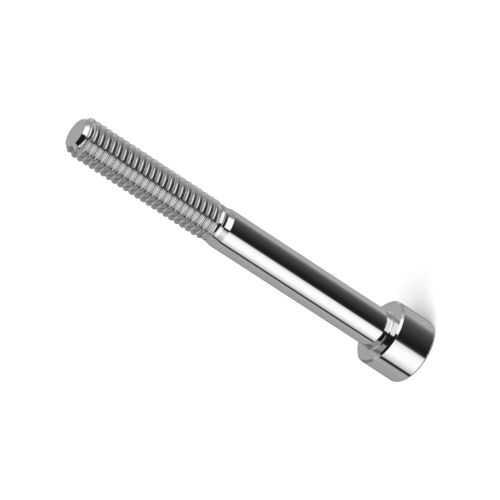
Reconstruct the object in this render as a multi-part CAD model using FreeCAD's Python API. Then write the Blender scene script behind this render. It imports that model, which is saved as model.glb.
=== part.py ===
import FreeCAD
import Part
import math
import os

# Socket head cap screw of size M6, 55 mm long, part threaded, in millimetres.
# The origin is the middle of the face under the head, which clamps on the work.
# +Z runs along the screw to its tip, and the head fills the space below z = 0.

# Head
head_diameter = 10.0
head_height = 6.2
head_end_chamfer = 0.25
head_rim_chamfer = 0.3
head_fillet = 0.4

# Hexagon socket
socket_width = 5.0
socket_depth = 3.0
socket_floor_drop = 0.6
socket_mouth_margin = 0.1
socket_mouth_angle = 45.0

# Shank and neck
screw_length = 55.0
shank_diameter = 5.9
neck_cone_length = 0.6
neck_length = 0.65
neck_drop = 0.225

# Thread
thread_pitch = 1.0
thread_length = 24.35
crest_diameter = 5.96
flank_angle = 60.0
thread_fade_length = 1.35
root_fade_offset = 0.1
first_crest_drop = 1.12
tip_face_diameter = 4.2
tip_chamfer_length = 1.1
tip_lead_diameter = 5.6
tip_lead_length = 0.7

# Thread form, worked out from the pitch
sharp_height = thread_pitch / (2 * math.tan(math.radians(flank_angle / 2)))
thread_depth = sharp_height * 17 / 24
crest_half_width = thread_pitch / 16
flank_run = thread_depth * math.tan(math.radians(flank_angle / 2))
crest_radius = crest_diameter / 2
root_radius = crest_radius - thread_depth

# Places along the screw
thread_start = screw_length - thread_length
neck_start = thread_start - neck_length
shank_end = neck_start - neck_cone_length
shank_radius = shank_diameter / 2
neck_radius = crest_radius - neck_drop
head_radius = head_diameter / 2

origin = FreeCAD.Vector(0, 0, 0)
screw_axis = FreeCAD.Vector(0, 0, 1)


def at(radius, height):
    return FreeCAD.Vector(radius, 0, height)


def chain(points):
    return [Part.LineSegment(a, b).toShape() for a, b in zip(points, points[1:])]


def turned(edges):
    return Part.Face(Part.Wire(edges)).revolve(origin, screw_axis, 360)


# Head, shank and neck as one turned blank. Past the neck it tapers into the thread's core.
def turned_blank():
    core_start = thread_start + root_fade_offset
    core_slope = (neck_radius - root_radius) / thread_fade_length
    core_end = core_start + thread_fade_length + thread_pitch / 2
    core_end_radius = neck_radius - core_slope * (core_end - core_start)
    head_side = chain([
        at(0, -head_height),
        at(head_radius - head_end_chamfer, -head_height),
        at(head_radius, -head_height + head_end_chamfer),
        at(head_radius, -head_rim_chamfer),
        at(head_radius - head_rim_chamfer, 0),
        at(shank_radius + head_fillet, 0),
    ])
    bend = head_fillet * (1 - math.sqrt(0.5))
    fillet = Part.Arc(
        at(shank_radius + head_fillet, 0),
        at(shank_radius + bend, bend),
        at(shank_radius, head_fillet),
    ).toBSpline().toShape()
    shank_side = chain([
        at(shank_radius, head_fillet),
        at(shank_radius, shank_end),
        at(neck_radius, neck_start),
        at(neck_radius, core_start),
        at(core_end_radius, core_end),
        at(0, core_end),
        at(0, -head_height),
    ])
    return turned(head_side + [fillet] + shank_side)


# One turn's outline in the XZ half plane: root flat, flank, crest flat, flank.
def thread_outline(crest_height):
    root_half_width = crest_half_width + flank_run
    return [
        at(root_radius, crest_height - thread_pitch + root_half_width),
        at(root_radius, crest_height - root_half_width),
        at(crest_radius, crest_height - crest_half_width),
        at(crest_radius, crest_height + crest_half_width),
        at(root_radius, crest_height + root_half_width),
    ]


# One turn of the right-hand helix that a corner of the outline follows.
def helix_from(corner):
    helix = Part.makeHelix(thread_pitch, thread_pitch, corner.x)
    helix.translate(FreeCAD.Vector(0, 0, corner.z))
    return helix.Edges[0]


# A flank keeps its form here. With each row weighted by one over its radius, the middle of a
# straight chord on the flank is also the middle in the surface's own parameters.
def evened_flank(face):
    surface = face.Surface
    for row in (1, surface.NbVPoles):
        pole = surface.getPole(1, row)
        weight = 1 / math.hypot(pole.x, pole.y)
        for column in range(1, surface.NbUPoles + 1):
            surface.setWeight(column, row, weight)
    return surface.toShape()


# Root, flank, crest and flank of one turn, ruled from helix to helix.
def one_turn(crest_height):
    helices = [helix_from(corner) for corner in thread_outline(crest_height)]
    bands = [Part.makeRuledSurface(a, b) for a, b in zip(helices, helices[1:])]
    root, lower_flank, crest, upper_flank = bands
    return [root, evened_flank(lower_flank), crest, evened_flank(upper_flank)]


# Closes an end of the threaded rod: a ramp inside the root helix, and the outline's own plane.
def rod_end(crest_height):
    outline = thread_outline(crest_height)
    low = at(0, outline[0].z)
    high = at(0, outline[-1].z)
    ramp = Part.makeRuledSurface(Part.makeLine(low, high), helix_from(outline[0]))
    return [ramp, Part.Face(Part.makePolygon([low] + outline + [high, low]))]


# A rod threaded from end to end. It starts below the neck and runs on past the tip.
def threaded_rod():
    turns_below = math.ceil((thread_length + neck_length) / thread_pitch) + 1
    turns = turns_below + math.ceil(first_crest_drop / thread_pitch) + 1
    lowest_crest = screw_length - first_crest_drop - turns_below * thread_pitch
    turn = one_turn(lowest_crest)
    faces = rod_end(lowest_crest) + rod_end(lowest_crest + turns * thread_pitch)
    for step in range(turns):
        for face in turn:
            faces.append(face.translated(FreeCAD.Vector(0, 0, step * thread_pitch)))
    shell = Part.makeShell(faces)
    shell.sewShape()
    return Part.Solid(shell)


# The space that the finished thread keeps to. Crests fade in from the neck, and past a slight lead
# they end in the tip's chamfer.
def thread_envelope():
    fade_slope = (crest_radius - neck_radius) / thread_fade_length
    clear = thread_pitch / 10
    sunk = neck_length / 2
    wide = crest_radius + clear
    tip_radius = tip_face_diameter / 2
    lead_radius = tip_lead_diameter / 2
    lead_slope = (crest_radius - lead_radius) / tip_lead_length
    chamfer_start = screw_length - tip_chamfer_length
    return turned(chain([
        at(0, thread_start - sunk),
        at(neck_radius - fade_slope * sunk, thread_start - sunk),
        at(wide, thread_start + thread_fade_length + clear / fade_slope),
        at(wide, chamfer_start - tip_lead_length - clear / lead_slope),
        at(lead_radius, chamfer_start),
        at(tip_radius, screw_length),
        at(0, screw_length),
        at(0, thread_start - sunk),
    ]))


# The hexagon socket: a prism with a conical floor and a countersunk mouth, open at the head's end.
def hexagon_socket():
    corner_radius = socket_width / 2 / math.cos(math.radians(30))
    mouth_radius = corner_radius + socket_mouth_margin
    mouth_height = mouth_radius / math.tan(math.radians(socket_mouth_angle))
    floor_height = -head_height + socket_depth
    corners = []
    for side in range(7):
        angle = math.radians(60 * side)
        corners.append(FreeCAD.Vector(
            corner_radius * math.cos(angle), corner_radius * math.sin(angle), -head_height))
    hexagon = Part.Face(Part.makePolygon(corners))
    prism = hexagon.extrude(FreeCAD.Vector(0, 0, socket_depth + socket_floor_drop))
    drill = turned(chain([
        at(0, -head_height),
        at(corner_radius, -head_height),
        at(corner_radius, floor_height),
        at(0, floor_height + socket_floor_drop),
        at(0, -head_height),
    ]))
    mouth = Part.makeCone(mouth_radius, 0, mouth_height, at(0, -head_height))
    return prism.common(drill).fuse(mouth)


def cap_screw():
    thread = threaded_rod().common(thread_envelope())
    screw = turned_blank().fuse(thread).cut(hexagon_socket())
    return screw.Solids[0]


os.makedirs("parts", exist_ok=True)
screw = cap_screw()
screw.exportStep("parts/cap_screw.step")
print("cap_screw", "valid" if screw.isValid() else "not valid", round(screw.Volume, 2), "mm3")
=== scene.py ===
import math

import bpy
from mathutils import Matrix, Vector


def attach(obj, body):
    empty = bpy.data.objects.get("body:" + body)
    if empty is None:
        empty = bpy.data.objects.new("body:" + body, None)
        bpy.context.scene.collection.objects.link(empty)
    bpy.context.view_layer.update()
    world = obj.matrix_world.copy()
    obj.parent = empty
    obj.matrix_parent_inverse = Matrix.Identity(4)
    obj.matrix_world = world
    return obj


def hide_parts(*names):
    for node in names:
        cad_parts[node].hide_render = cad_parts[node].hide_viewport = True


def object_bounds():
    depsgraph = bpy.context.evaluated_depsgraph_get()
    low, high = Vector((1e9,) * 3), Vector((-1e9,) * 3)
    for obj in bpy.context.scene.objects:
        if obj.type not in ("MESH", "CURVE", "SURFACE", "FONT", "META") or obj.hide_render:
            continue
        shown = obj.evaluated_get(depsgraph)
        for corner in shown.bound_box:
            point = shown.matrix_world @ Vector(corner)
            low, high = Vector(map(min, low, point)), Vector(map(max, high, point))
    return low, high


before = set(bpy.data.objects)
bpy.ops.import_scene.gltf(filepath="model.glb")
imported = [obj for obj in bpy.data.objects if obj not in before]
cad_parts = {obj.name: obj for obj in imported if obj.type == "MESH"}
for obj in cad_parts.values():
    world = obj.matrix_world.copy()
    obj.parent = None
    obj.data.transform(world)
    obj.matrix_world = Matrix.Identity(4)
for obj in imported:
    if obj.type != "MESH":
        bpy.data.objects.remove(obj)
cadBox = [list(corner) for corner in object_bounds()]
mm = 0.001


# Node helpers

# A value named i0, i1 and so on goes to the input of that number, any other to the input so named.
def addNode(tree, kind, settings=None, **values):
    node = tree.nodes.new(kind)
    for name, value in (settings or {}).items():
        setattr(node, name, value)
    for name, value in values.items():
        numbered = name[0] == "i" and name[1:].isdigit()
        socket = node.inputs[int(name[1:]) if numbered else name]
        if isinstance(value, bpy.types.NodeSocket):
            tree.links.new(value, socket)
        else:
            socket.default_value = value
    return node


def calc(tree, operation, a, b=0.0, c=0.0):
    return addNode(tree, "ShaderNodeMath", {"operation": operation}, i0=a, i1=b, i2=c).outputs[0]


def wholeCalc(tree, operation, a, b):
    return addNode(tree, "FunctionNodeIntegerMath", {"operation": operation}, i0=a, i1=b).outputs[0]


# Goes from low to high while the value goes from start to end, and stays level past both.
def fade(tree, value, start, end, low=0.0, high=1.0):
    return addNode(tree, "ShaderNodeMapRange", Value=value, **{
        "From Min": start, "From Max": end, "To Min": low, "To Max": high}).outputs[0]


# A Mix node keeps its colours at inputs 6 and 7, and its plain values at 2 and 3.
def blend(tree, share, below, above):
    mix = addNode(tree, "ShaderNodeMix", {"data_type": "RGBA"}, i0=share, i6=below, i7=above)
    return mix.outputs[2]


def blendValue(tree, share, below, above):
    mix = addNode(tree, "ShaderNodeMix", {"data_type": "FLOAT"}, i0=share, i2=below, i3=above)
    return mix.outputs[0]


def axes(tree, vector):
    return addNode(tree, "ShaderNodeSeparateXYZ", i0=vector).outputs


def length(tree, vector):
    return addNode(tree, "ShaderNodeVectorMath", {"operation": "LENGTH"}, i0=vector).outputs["Value"]


def newTree(name, inputs):
    tree = bpy.data.node_groups.new(name, "GeometryNodeTree")
    for label, kind, value in inputs:
        socket = tree.interface.new_socket(label, in_out="INPUT", socket_type="NodeSocket" + kind)
        if value is not None:
            socket.default_value = value
    tree.interface.new_socket("Mesh", in_out="OUTPUT", socket_type="NodeSocketGeometry")
    return tree, tree.nodes.new("NodeGroupInput").outputs, tree.nodes.new("NodeGroupOutput").inputs


def pointCount(tree, path):
    return addNode(tree, "GeometryNodeAttributeDomainSize", i0=path).outputs["Point Count"]


def sample(tree, kind, path, index, value):
    return addNode(tree, "GeometryNodeSampleIndex", {"data_type": kind},
                   Geometry=path, Index=index, Value=value).outputs[0]


def sampleSpot(tree, path, index):
    position = tree.nodes.new("GeometryNodeInputPosition").outputs[0]
    return axes(tree, sample(tree, "FLOAT_VECTOR", path, index, position))


# A flat grid to be bent round the Z axis, with each point's row and its share of a full turn.
def sheet(tree, rows, columns):
    across = wholeCalc(tree, "ADD", columns, 1)
    grid = addNode(tree, "GeometryNodeMeshGrid", **{"Vertices X": rows, "Vertices Y": across})
    index = tree.nodes.new("GeometryNodeInputIndex").outputs[0]
    row = wholeCalc(tree, "DIVIDE_FLOOR", index, across)
    column = wholeCalc(tree, "MODULO", index, across)
    return grid.outputs["Mesh"], row, calc(tree, "DIVIDE", column, columns)


def bendRound(tree, grid, radius, angle, height):
    spot = addNode(tree, "ShaderNodeCombineXYZ",
                   X=calc(tree, "MULTIPLY", radius, calc(tree, "COSINE", angle)),
                   Y=calc(tree, "MULTIPLY", radius, calc(tree, "SINE", angle)), Z=height).outputs[0]
    return addNode(tree, "GeometryNodeSetPosition", Geometry=grid, Position=spot).outputs[0]


# Paths of (radius, height) in millimetres

# Swaps a path's corners for arcs of these radii. A point close by on each side of an arc, at
# the guard's distance, keeps the shading of the flats flat.
def roundPath(points, bends, steps, guard):
    path = [points[0]]
    for before, corner, after, bend in zip(points, points[1:], points[2:], bends):
        before, corner, after = Vector(before), Vector(corner), Vector(after)
        toBefore, toAfter = (before - corner).normalized(), (after - corner).normalized()
        turn = math.pi - toBefore.angle(toAfter)
        reach = bend * math.tan(turn / 2)
        middle = corner + (toBefore + toAfter).normalized() * bend / math.cos(turn / 2)
        spoke = corner + toBefore * reach - middle
        sweep = turn if spoke.cross(corner + toAfter * reach - middle) > 0 else -turn
        if guard:
            path.append(tuple(corner + toBefore * (reach + guard)))
        for step in range(steps + 1):
            path.append(tuple(middle + Matrix.Rotation(sweep * step / steps, 2) @ spoke))
        if guard:
            path.append(tuple(corner + toAfter * (reach + guard)))
    path.append(points[-1])
    return path


def pathObject(name, path, hexShare=(), lean=()):
    mesh = bpy.data.meshes.new(name)
    mesh.from_pydata([(radius * mm, 0, height * mm) for radius, height in path], [], [])
    for label, shares in (("hexShare", hexShare), ("lean", lean)):
        layer = mesh.attributes.new(label, "FLOAT", "POINT")
        for index, share in enumerate(shares):
            layer.data[index].value = share
    return bpy.data.objects.new(name, mesh)


# Cap screw, in millimetres

capScrew = {
    "headDiameter": 10.0,
    "headHeight": 6.2,
    "headEndChamfer": 0.25,
    "headRimChamfer": 0.3,
    "headFillet": 0.25,
    "socketWidth": 5.0,
    "socketDepth": 3.0,
    "socketFloorDrop": 0.6,
    "socketMouthMargin": 0.1,
    "socketMouthLip": 0.05,  # a strip of the mouth's cone beside its edge
    "screwLength": 55.0,
    "shankDiameter": 5.9,
    "neckConeLength": 0.9,
    "neckLength": 0.3,
    "neckDrop": 0.225,  # from the crests down to the neck
    "pitch": 1.0,
    "threadLength": 24.6,
    "crestDiameter": 5.96,
    "fadeLength": 1.6,  # in which the thread grows from the neck
    "firstCrestDrop": 1.12,  # from the tip's face to the first crest, on +X
    "tipFaceDiameter": 4.3,
    "tipChamferLength": 0.9,
    "tipLeadDiameter": 5.8,
    "tipLeadLength": 0.4,
    "tipCapLength": 0.3,  # the plain end of the tip, turned and not wound
    "rootRounding": 0.24,
    "crestRounding": 0.045,
    "edgeRounding": 0.1,
    "sharpRounding": 0.03,
    "edgeSoftness": 0.04,  # where the tip cuts the thread
    "cornerGuard": 0.02,
    "flankGuard": 0.015,
    "leastFlank": 0.15,  # a longer step of the thread's outline is a flank
    "leastGap": 0.004,  # closer points of the outline are left out
    "arcSteps": 5,
    "threadArcSteps": 4,
    "columns": 132,
    "creaseAngle": 35.0,  # in degrees, above which an edge stays sharp
}


# Turns a path round the Z axis. A row's hexShare pulls it in to a hexagon, and its lean lifts it
# with its radius.
def turnTree():
    tree, sizes, result = newTree("turnPath", [
        ("Path", "Geometry", None), ("Columns", "Int", capScrew["columns"])])
    path = sizes["Path"]
    grid, row, around = sheet(tree, pointCount(tree, path), sizes["Columns"])
    angle = calc(tree, "MULTIPLY", around, 2 * math.pi)
    place = sampleSpot(tree, path, row)
    shares = []
    for label in ("hexShare", "lean"):
        layer = addNode(tree, "GeometryNodeInputNamedAttribute", {"data_type": "FLOAT"}, Name=label)
        shares.append(sample(tree, "FLOAT", path, row, layer.outputs[0]))

    nudge = 1e-5  # keeps a column that lies on a corner from falling to the side before it
    side = calc(tree, "MODULO", calc(tree, "ADD", angle, nudge), math.pi / 3)
    side = calc(tree, "SUBTRACT", side, math.pi / 6)
    hexagon = calc(tree, "DIVIDE", math.cos(math.pi / 6), calc(tree, "COSINE", side))
    radius = calc(tree, "MULTIPLY", place["X"], blendValue(tree, shares[0], 1.0, hexagon))
    height = calc(tree, "MULTIPLY_ADD", radius, shares[1], place["Z"])
    tree.links.new(bendRound(tree, grid, radius, angle, height), result["Mesh"])
    return tree


# Winds one pitch's outline up the Z axis, one row for each outline point and turn.
def threadTree():
    lengths = ["Pitch", "Base", "Start", "End", "Neck Radius", "Crest Radius", "Fade Length",
               "Tip Radius", "Screw Length", "Chamfer Length", "Lead Radius", "Lead Length",
               "Edge Softness"]
    tree, sizes, result = newTree("windThread", [
        ("Outline", "Geometry", None), ("Columns", "Int", capScrew["columns"]), ("Turns", "Int", 1)]
        + [(label, "Float", 0.0) for label in lengths])
    outline = sizes["Outline"]
    count = pointCount(tree, outline)
    rows = wholeCalc(tree, "MULTIPLY", count, sizes["Turns"])
    grid, row, around = sheet(tree, rows, sizes["Columns"])
    angle = calc(tree, "MULTIPLY", around, 2 * math.pi)
    place = sampleSpot(tree, outline, wholeCalc(tree, "MODULO", row, count))

    climb = calc(tree, "ADD", around, wholeCalc(tree, "DIVIDE_FLOOR", row, count))
    height = calc(tree, "ADD", sizes["Base"], place["Z"])
    height = calc(tree, "MULTIPLY_ADD", climb, sizes["Pitch"], height)
    height = calc(tree, "MAXIMUM", height, sizes["Start"])
    height = calc(tree, "MINIMUM", height, sizes["End"])

    # The whole form grows out of the neck.
    past = calc(tree, "SUBTRACT", height, sizes["Start"])
    grown = fade(tree, past, 0.0, sizes["Fade Length"])
    form = calc(tree, "SUBTRACT", place["X"], sizes["Neck Radius"])
    radius = calc(tree, "MULTIPLY_ADD", form, grown, sizes["Neck Radius"])

    # A slight lead and then the chamfer cut the crests down to the tip's face.
    left = calc(tree, "SUBTRACT", sizes["Screw Length"], height)
    chamferRise = calc(tree, "SUBTRACT", sizes["Lead Radius"], sizes["Tip Radius"])
    chamferSlope = calc(tree, "DIVIDE", chamferRise, sizes["Chamfer Length"])
    chamfer = calc(tree, "MULTIPLY_ADD", left, chamferSlope, sizes["Tip Radius"])
    leadRise = calc(tree, "SUBTRACT", sizes["Crest Radius"], sizes["Lead Radius"])
    leadSlope = calc(tree, "DIVIDE", leadRise, sizes["Lead Length"])
    beforeChamfer = calc(tree, "SUBTRACT", left, sizes["Chamfer Length"])
    lead = calc(tree, "MULTIPLY_ADD", beforeChamfer, leadSlope, sizes["Lead Radius"])
    nose = calc(tree, "SMOOTH_MIN", chamfer, lead, sizes["Edge Softness"])
    radius = calc(tree, "SMOOTH_MIN", radius, nose, sizes["Edge Softness"])
    tree.links.new(bendRound(tree, grid, radius, angle, height), result["Mesh"])
    return tree


# The whole screw: turned head and shank, wound thread and turned tip, merged into one skin.
def screwTree(turn, wind, steel):
    labels = [item.name for item in wind.interface.items_tree if item.in_out == "INPUT"]
    lengths = labels[labels.index("Turns") + 1:]
    tree, sizes, result = newTree("capScrewTree", [
        ("Geometry", "Geometry", None), ("Head Path", "Object", None),
        ("Thread Outline", "Object", None), ("Tip Path", "Object", None),
        ("Columns", "Int", capScrew["columns"]), ("Turns", "Int", 1)]
        + [(label, "Float", 0.0) for label in lengths])
    parts = []
    for label, group in (("Head Path", turn), ("Thread Outline", wind), ("Tip Path", turn)):
        path = addNode(tree, "GeometryNodeObjectInfo", Object=sizes[label]).outputs["Geometry"]
        part = addNode(tree, "GeometryNodeGroup", {"node_tree": group}, i0=path, i1=sizes["Columns"])
        if group == wind:
            for item in ["Turns"] + lengths:
                tree.links.new(sizes[item], part.inputs[item])
        parts.append(part.outputs[0])
    joined = tree.nodes.new("GeometryNodeJoinGeometry")
    for part in parts:
        tree.links.new(part, joined.inputs[0])
    mergeDistance = 1e-6
    merged = addNode(tree, "GeometryNodeMergeByDistance", Geometry=joined.outputs[0],
                     Distance=mergeDistance)
    fold = tree.nodes.new("GeometryNodeInputMeshEdgeAngle").outputs[0]
    soft = addNode(tree, "FunctionNodeCompare", {"data_type": "FLOAT", "operation": "LESS_THAN"},
                   i0=fold, i1=math.radians(capScrew["creaseAngle"])).outputs[0]
    faces = addNode(tree, "GeometryNodeSetShadeSmooth", {"domain": "FACE"},
                    i0=merged.outputs[0], i2=True)
    edges = addNode(tree, "GeometryNodeSetShadeSmooth", {"domain": "EDGE"},
                    i0=faces.outputs[0], i2=soft)
    outward = addNode(tree, "GeometryNodeFlipFaces", i0=edges.outputs[0])
    realized = addNode(tree, "GeometryNodeRealizeInstances", i0=outward.outputs[0])
    finished = addNode(tree, "GeometryNodeSetMaterial", i0=realized.outputs[0], Material=steel)
    tree.links.new(finished.outputs[0], result["Mesh"])
    return tree


# From the middle of the socket's floor, round the head and up the shank to the thread.
def headPathObject(neckRadius, shankEnd, neckStart, threadStart):
    size = capScrew
    headRadius = size["headDiameter"] / 2
    shankRadius = size["shankDiameter"] / 2
    bottom = -size["headHeight"]
    lip = size["socketMouthLip"]
    cornerRadius = size["socketWidth"] / math.sqrt(3)
    mouthRadius = cornerRadius + size["socketMouthMargin"]
    socketTop = bottom + size["socketDepth"] + size["socketFloorDrop"]
    socketPath = [(0, socketTop), (cornerRadius, socketTop), (cornerRadius, bottom + mouthRadius)]
    edge, sharp = size["edgeRounding"], size["sharpRounding"]
    outerPath = roundPath([
        (mouthRadius - lip, bottom + lip),
        (mouthRadius, bottom),
        (headRadius - size["headEndChamfer"], bottom),
        (headRadius, bottom + size["headEndChamfer"]),
        (headRadius, -size["headRimChamfer"]),
        (headRadius - size["headRimChamfer"], 0),
        (shankRadius, 0),
        (shankRadius, shankEnd),
        (neckRadius, neckStart),
        (neckRadius, threadStart),
    ], [sharp, edge, edge, sharp, sharp, size["headFillet"], edge, edge],
        size["arcSteps"], size["cornerGuard"])
    hexShare = [0, 1, 1] + [0] * len(outerPath)
    lean = [0, -size["socketFloorDrop"] / cornerRadius, -1] + [0] * len(outerPath)
    return pathObject("headPath", socketPath + outerPath, hexShare, lean)


# One pitch, from the middle of a root over a crest to the middle of the next root. Each flank
# gets a point near either end, so that it shades flat.
def threadOutlineObject(rootRadius, crestRadius):
    size = capScrew
    root, crest = size["rootRounding"], size["crestRounding"]
    middle = size["pitch"] / 2
    crestHalf = size["pitch"] / 16
    rootHalf = (size["pitch"] - 2 * crestHalf) / 2 - (crestRadius - rootRadius) / math.sqrt(3)
    outline = roundPath([
        (rootRadius, 0),
        (rootRadius, rootHalf),
        (crestRadius, middle - crestHalf),
        (crestRadius, middle + crestHalf),
        (rootRadius, size["pitch"] - rootHalf),
        (rootRadius, size["pitch"]),
    ], [root, crest, crest, root], size["threadArcSteps"], 0)
    spread = [outline[0]]
    for point in outline[1:-1]:
        gap = Vector(point) - Vector(spread[-1])
        if gap.length > size["leastFlank"]:
            margin = gap.normalized() * size["flankGuard"]
            spread += [tuple(Vector(spread[-1]) + margin), tuple(Vector(point) - margin)]
        if gap.length > size["leastGap"]:
            spread.append(point)
    return pathObject("threadOutline", spread)


def tipPathObject(tipRadius, tipSlope, tipCapStart):
    size = capScrew
    return pathObject("tipPath", roundPath([
        (tipRadius + tipSlope * size["tipCapLength"], tipCapStart),
        (tipRadius, size["screwLength"]),
        (0, size["screwLength"]),
    ], [size["edgeRounding"]], size["arcSteps"], size["cornerGuard"]))


def buildCapScrew(steel):
    size = capScrew
    crestRadius = size["crestDiameter"] / 2
    tipRadius = size["tipFaceDiameter"] / 2
    leadRadius = size["tipLeadDiameter"] / 2
    neckRadius = crestRadius - size["neckDrop"]
    # The 60 degree flanks would meet 7/8 of the sharp form's height below the crests. The root's
    # arc lies between them, so its bottom is one arc radius above that.
    sharpHeight = size["pitch"] * math.sqrt(3) / 2
    rootRadius = crestRadius - sharpHeight * 7 / 8 + size["rootRounding"]

    threadStart = size["screwLength"] - size["threadLength"]
    neckStart = threadStart - size["neckLength"]
    shankEnd = neckStart - size["neckConeLength"]
    tipCapStart = size["screwLength"] - size["tipCapLength"]
    tipSlope = (leadRadius - tipRadius) / size["tipChamferLength"]

    # The winding starts whole turns below the first crest, far enough down to reach the neck.
    middle = size["pitch"] / 2
    firstCrest = size["screwLength"] - size["firstCrestDrop"]
    turnsBelow = math.ceil((firstCrest + middle - threadStart) / size["pitch"])
    base = firstCrest - middle - turnsBelow * size["pitch"]
    turns = math.ceil((size["screwLength"] - base) / size["pitch"])

    tree = screwTree(turnTree(), threadTree(), steel)
    blank = bpy.data.objects.new("capScrewBlank", bpy.data.meshes.new("capScrewBlank"))
    bpy.context.scene.collection.objects.link(blank)
    modifier = blank.modifiers.new("capScrewTree", "NODES")
    modifier.node_group = tree
    values = {
        "Head Path": headPathObject(neckRadius, shankEnd, neckStart, threadStart),
        "Thread Outline": threadOutlineObject(rootRadius, crestRadius),
        "Tip Path": tipPathObject(tipRadius, tipSlope, tipCapStart),
        "Columns": size["columns"],
        "Turns": turns,
        "Pitch": size["pitch"] * mm,
        "Base": base * mm,
        "Start": threadStart * mm,
        "End": tipCapStart * mm,
        "Neck Radius": neckRadius * mm,
        "Crest Radius": crestRadius * mm,
        "Fade Length": size["fadeLength"] * mm,
        "Tip Radius": tipRadius * mm,
        "Screw Length": size["screwLength"] * mm,
        "Chamfer Length": size["tipChamferLength"] * mm,
        "Lead Radius": leadRadius * mm,
        "Lead Length": size["tipLeadLength"] * mm,
        "Edge Softness": size["edgeSoftness"] * mm,
    }
    for item in tree.interface.items_tree:
        if item.in_out == "INPUT" and item.name in values:
            modifier[item.identifier] = values[item.name]
    bpy.context.view_layer.update()
    graph = bpy.context.evaluated_depsgraph_get()
    mesh = bpy.data.meshes.new_from_object(blank.evaluated_get(graph), depsgraph=graph)
    mesh.name = "capScrew"
    screw = bpy.data.objects.new("capScrew", mesh)
    bpy.context.scene.collection.objects.link(screw)
    bpy.data.objects.remove(blank)
    mesh.calc_loop_triangles()
    print("cap screw:", len(mesh.loop_triangles), "triangles,", turns, "turns")
    return screw


# Steel finish. Patches vary the shine, lines run round the screw, and the grooves are rougher, with
# painted shade darkening their colour.

brightSteel = {
    "color": (0.78, 0.78, 0.79),
    "darkShare": 0.94,  # of the colour, in the darkest patches
    "roughness": (0.06, 0.11),
    "patchScale": 260.0,
    "patchDetail": 3.0,
    "patchSpan": (0.3, 0.7),
    "lineScale": 5200.0,
    "lineDetail": 2.0,
    "lineStretch": (0.02, 0.02, 1.0),
    "bump": 0.02,
    "bumpHeight": 0.00002,
    "grooveRoughness": 0.17,
    # painted shade: the share of the colour left in the thread's grooves
    "paintedGrooveShade": 0.8,
    "grooveRadius": (2.8, 2.92),  # in millimetres, as the next two are
    "grooveSpan": (30.4, 54.3),
    "grooveFades": (1.0, 0.3),
}


def shade(color, share):
    return tuple(channel * share for channel in color) + (1,)


def buildSteel():
    look = brightSteel
    steel = bpy.data.materials.new("brightSteel")
    steel.use_nodes = True
    tree = steel.node_tree
    shader = tree.nodes["Principled BSDF"]
    shader.inputs["Metallic"].default_value = 1.0
    coords = tree.nodes.new("ShaderNodeTexCoord").outputs["Object"]
    patches = addNode(tree, "ShaderNodeTexNoise", Vector=coords, Scale=look["patchScale"],
                      Detail=look["patchDetail"]).outputs[0]
    rough = fade(tree, patches, *look["patchSpan"], *look["roughness"])

    spot = axes(tree, coords)
    radius = length(tree, addNode(tree, "ShaderNodeCombineXYZ", X=spot["X"], Y=spot["Y"]).outputs[0])
    inner, outer = look["grooveRadius"]
    start, end = look["grooveSpan"]
    startFade, endFade = look["grooveFades"]
    sunk = calc(tree, "MULTIPLY", fade(tree, radius, outer * mm, inner * mm),
                fade(tree, spot["Z"], start * mm, (start + startFade) * mm))
    sunk = calc(tree, "MULTIPLY", sunk, fade(tree, spot["Z"], end * mm, (end - endFade) * mm))
    rough = blendValue(tree, sunk, rough, look["grooveRoughness"])
    tree.links.new(rough, shader.inputs["Roughness"])

    toneAndPaintedShade = blend(tree, patches, shade(look["color"], look["darkShare"]), shade(look["color"], 1))
    # Painted shade: the colour is darkened in the thread's grooves.
    toneAndPaintedShade = blend(tree, sunk, toneAndPaintedShade, shade(look["color"], look["paintedGrooveShade"]))
    tree.links.new(toneAndPaintedShade, shader.inputs["Base Color"])

    flat = addNode(tree, "ShaderNodeMapping", Vector=coords, Scale=look["lineStretch"]).outputs[0]
    lines = addNode(tree, "ShaderNodeTexNoise", Vector=flat, Scale=look["lineScale"],
                    Detail=look["lineDetail"]).outputs[0]
    bump = addNode(tree, "ShaderNodeBump", Height=lines, Strength=look["bump"],
                   Distance=look["bumpHeight"]).outputs[0]
    tree.links.new(bump, shader.inputs["Normal"])
    return steel


# Studio

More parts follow.
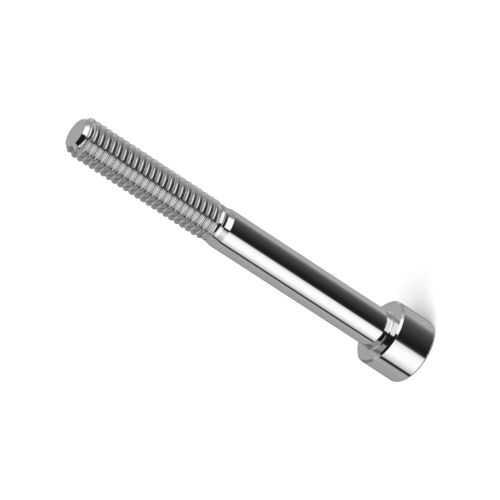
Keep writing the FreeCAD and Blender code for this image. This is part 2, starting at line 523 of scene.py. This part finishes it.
# What the steel mirrors, in tones of 0 to 255 as the steel shows them. A tone over 255 is a light
# panel's own level. The walls go by degrees round the room from -Y towards +X, and the other
# bands by X, from 0 at -1 to 1 at +1. A pair is where a band fades into the next, in Z, and for
# the two named Back in Y. The band behind begins where Y passes behindSlope times Z, less
# behindDrop.
surroundings = {
    "steelShare": 0.77,
    "walls": [
        (-180, 95), (-165, 110), (-152, 150), (-106, 160), (-86, 168), (-80, 160), (-77, 25), (-69, 25),
        (-66, 190), (-60, 215), (-48, 240), (-42, 330), (-16, 330), (-8, 245), (2, 225), (6, 60),
        (14, 28), (28, 30), (40, 42), (60, 58), (76, 72), (90, 95), (100, 130), (108, 168), (150, 165),
        (162, 110), (180, 95)],
    "wallsTop": (-0.24, -0.16),
    "level": [
        (0.02, 163), (0.028, 40), (0.048, 40), (0.06, 170), (0.12, 186), (0.2, 214), (0.28, 236),
        (0.38, 222), (0.43, 200), (0.48, 175), (0.51, 60), (0.53, 30), (0.59, 30), (0.62, 330),
        (1.0, 330)],
    "ceilingRise": (0.1, 0.22),
    "ceiling": [
        (0.0, 158), (0.15, 158), (0.17, 22), (0.625, 22), (0.645, 330), (1.0, 330)],
    "behindSlope": 0.65,
    "behindDrop": 0.2,
    "behindFade": (0.0, 0.06),
    "behind": [
        (0.055, 158), (0.075, 116), (0.18, 118), (0.28, 140), (0.42, 160), (0.5, 162), (0.65, 175),
        (0.72, 196), (0.76, 190), (0.8, 150), (1.0, 145)],
    "overheadRise": (0.5, 0.58),
    "overheadBack": (0.0, 0.07),
    "overhead": [
        (0.24, 180), (0.26, 168), (0.34, 160), (0.4, 170), (0.47, 155), (0.51, 110), (0.55, 64),
        (0.62, 46), (0.69, 60), (0.73, 95), (0.75, 150), (0.758, 190)],
    "groundTop": (-0.74, -0.66),
    "ground": [
        (0.0, 150), (0.3, 165), (0.45, 190), (0.55, 200), (0.6, 250), (1.0, 250)],
    "groundBack": (0.38, 0.46),
    "groundBackTone": 48,
}

studio = {
    "fill": 0.55,
    "floorSize": 6.0,  # this and the other lengths here are in metres
    "floorColor": (0.9, 0.9, 0.9, 1),
    "floorGlow": (0.09, 0.52),
    "glowSpan": (0.15, 1.0),
    "lampEnergy": 6.0,
    "lampSize": 0.5,
    "lampPlace": (-0.25, -0.35, 0.6),
    "lampTarget": (0, 0, 0.02),
}

white = (1, 1, 1, 1)


# From a screen's tone to the light behind it.
def linear(tone):
    share = tone / 255
    return share / 12.92 if share < 0.04045 else ((share + 0.055) / 1.055) ** 2.4


# The surroundings' level that the steel shows as this tone.
def gray(tone):
    mirrored = linear(tone) / surroundings["steelShare"]
    level = mirrored if tone <= 255 else tone / 255
    return (level, level, level, 1)


def toneRamp(tree, place, stops):
    ramp = addNode(tree, "ShaderNodeValToRGB", Fac=place)
    elements = ramp.color_ramp.elements
    while len(elements) < len(stops):
        elements.new(0.5)
    for element, (position, tone) in zip(elements, stops):
        element.position = position
        element.color = gray(tone)
    return ramp.outputs["Color"]


def buildWorld():
    room = surroundings
    world = bpy.data.worlds.new("studioWorld")
    bpy.context.scene.world = world
    world.use_nodes = True
    tree = world.node_tree
    tree.nodes.clear()
    way = axes(tree, tree.nodes.new("ShaderNodeTexCoord").outputs["Generated"])
    azimuth = calc(tree, "ARCTAN2", way["X"], calc(tree, "MULTIPLY", way["Y"], -1.0))
    turn = fade(tree, azimuth, -math.pi, math.pi)
    side = fade(tree, way["X"], -1.0, 1.0)
    walls = toneRamp(tree, turn, [((degrees + 180) / 360, tone) for degrees, tone in room["walls"]])
    level = toneRamp(tree, side, room["level"])
    ceiling = toneRamp(tree, side, room["ceiling"])
    around = blend(tree, fade(tree, way["Z"], *room["ceilingRise"]), level, ceiling)

    sloped = calc(tree, "MULTIPLY_ADD", way["Z"], room["behindSlope"], -room["behindDrop"])
    back = calc(tree, "SUBTRACT", way["Y"], sloped)
    behind = toneRamp(tree, side, room["behind"])
    around = blend(tree, fade(tree, back, *room["behindFade"]), around, behind)

    overhead = toneRamp(tree, side, room["overhead"])
    high = calc(tree, "MULTIPLY", fade(tree, way["Z"], *room["overheadRise"]),
                fade(tree, way["Y"], *room["overheadBack"]))
    around = blend(tree, high, around, overhead)
    around = blend(tree, fade(tree, way["Z"], *room["wallsTop"]), walls, around)

    ground = toneRamp(tree, side, room["ground"])
    ground = blend(tree, fade(tree, way["Y"], *room["groundBack"]), ground, gray(room["groundBackTone"]))
    around = blend(tree, fade(tree, way["Z"], *room["groundTop"]), ground, around)

    # Rays off the steel see the room, the camera sees plain white, and all else gets an even fill.
    seen = addNode(tree, "ShaderNodeBackground", Color=around, Strength=1.0).outputs[0]
    fill = addNode(tree, "ShaderNodeBackground", Color=white, Strength=studio["fill"]).outputs[0]
    plain = addNode(tree, "ShaderNodeBackground", Color=white, Strength=1.0).outputs[0]
    ray = tree.nodes.new("ShaderNodeLightPath").outputs
    mirrored = calc(tree, "MAXIMUM", ray["Is Glossy Ray"], ray["Is Transmission Ray"])
    mixed = addNode(tree, "ShaderNodeMixShader", i0=mirrored, i1=fill, i2=seen).outputs[0]
    mixed = addNode(tree, "ShaderNodeMixShader", i0=ray["Is Camera Ray"], i1=mixed, i2=plain).outputs[0]
    output = tree.nodes.new("ShaderNodeOutputWorld")
    tree.links.new(mixed, output.inputs["Surface"])


# A matt floor that keeps the shadow. To the camera it also glows, more so far from the screw.
def buildFloor(height):
    half = studio["floorSize"] / 2
    mesh = bpy.data.meshes.new("floor")
    signs = [(-1, -1), (1, -1), (1, 1), (-1, 1)]
    mesh.from_pydata([(half * x, half * y, height) for x, y in signs], [], [(0, 1, 2, 3)])
    paint = bpy.data.materials.new("floorPaint")
    paint.use_nodes = True
    tree = paint.node_tree
    tree.nodes.clear()
    matt = addNode(tree, "ShaderNodeBsdfDiffuse", Color=studio["floorColor"]).outputs[0]
    distance = length(tree, tree.nodes.new("ShaderNodeTexCoord").outputs["Object"])
    strength = fade(tree, distance, *studio["glowSpan"], *studio["floorGlow"])
    glow = addNode(tree, "ShaderNodeEmission", Color=white, Strength=strength).outputs[0]
    lit = addNode(tree, "ShaderNodeAddShader", i0=matt, i1=glow).outputs[0]
    ray = tree.nodes.new("ShaderNodeLightPath").outputs
    mixed = addNode(tree, "ShaderNodeMixShader", i0=ray["Is Camera Ray"], i1=matt, i2=lit).outputs[0]
    output = tree.nodes.new("ShaderNodeOutputMaterial")
    tree.links.new(mixed, output.inputs["Surface"])
    mesh.materials.append(paint)
    floor = bpy.data.objects.new("floor", mesh)
    bpy.context.scene.collection.objects.link(floor)
    floor.visible_glossy = False
    return floor


def buildLamp():
    place, target = Vector(studio["lampPlace"]), Vector(studio["lampTarget"])
    data = bpy.data.lights.new("keyLamp", "AREA")
    data.shape = "DISK"
    data.size = studio["lampSize"]
    data.energy = studio["lampEnergy"]
    lamp = bpy.data.objects.new("keyLamp", data)
    lamp.location = place
    lamp.rotation_euler = (target - place).to_track_quat("-Z", "Y").to_euler()
    lamp.visible_glossy = False
    bpy.context.scene.collection.objects.link(lamp)


# Camera, with its angles in degrees and its place in millimetres

camera = {
    "lens": 273.6,
    "sensor": 36,
    "tilt": 65.12,
    "roll": 56.933,
    "place": (-0.3966, -477.390, 245.097),
    "clip": (0.01, 20),
}


def buildCamera():
    tilt = math.radians(camera["tilt"])
    roll = math.radians(camera["roll"])
    ahead = Vector((0, math.sin(tilt), -math.cos(tilt)))
    plainUp = Vector((0, math.cos(tilt), math.sin(tilt)))
    plainRight = Vector((1, 0, 0))
    right = plainRight * math.cos(roll) - plainUp * math.sin(roll)
    up = plainRight * math.sin(roll) + plainUp * math.cos(roll)
    turned = Matrix((right, up, -ahead)).transposed().to_4x4()
    data = bpy.data.cameras.new("photoCamera")
    data.sensor_width = camera["sensor"]
    data.lens = camera["lens"]
    data.clip_start, data.clip_end = camera["clip"]
    view = bpy.data.objects.new("photoCamera", data)
    view.matrix_world = Matrix.Translation(Vector(camera["place"]) * mm) @ turned
    bpy.context.scene.collection.objects.link(view)
    bpy.context.scene.camera = view


steel = buildSteel()
screw = buildCapScrew(steel)
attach(screw, "root")
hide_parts("cap_screw")
print("screw placed")

floor = buildFloor(cadBox[0][2])
buildLamp()
buildWorld()
print("studio ready")

buildCamera()
bpy.context.scene.view_settings.view_transform = "Standard"
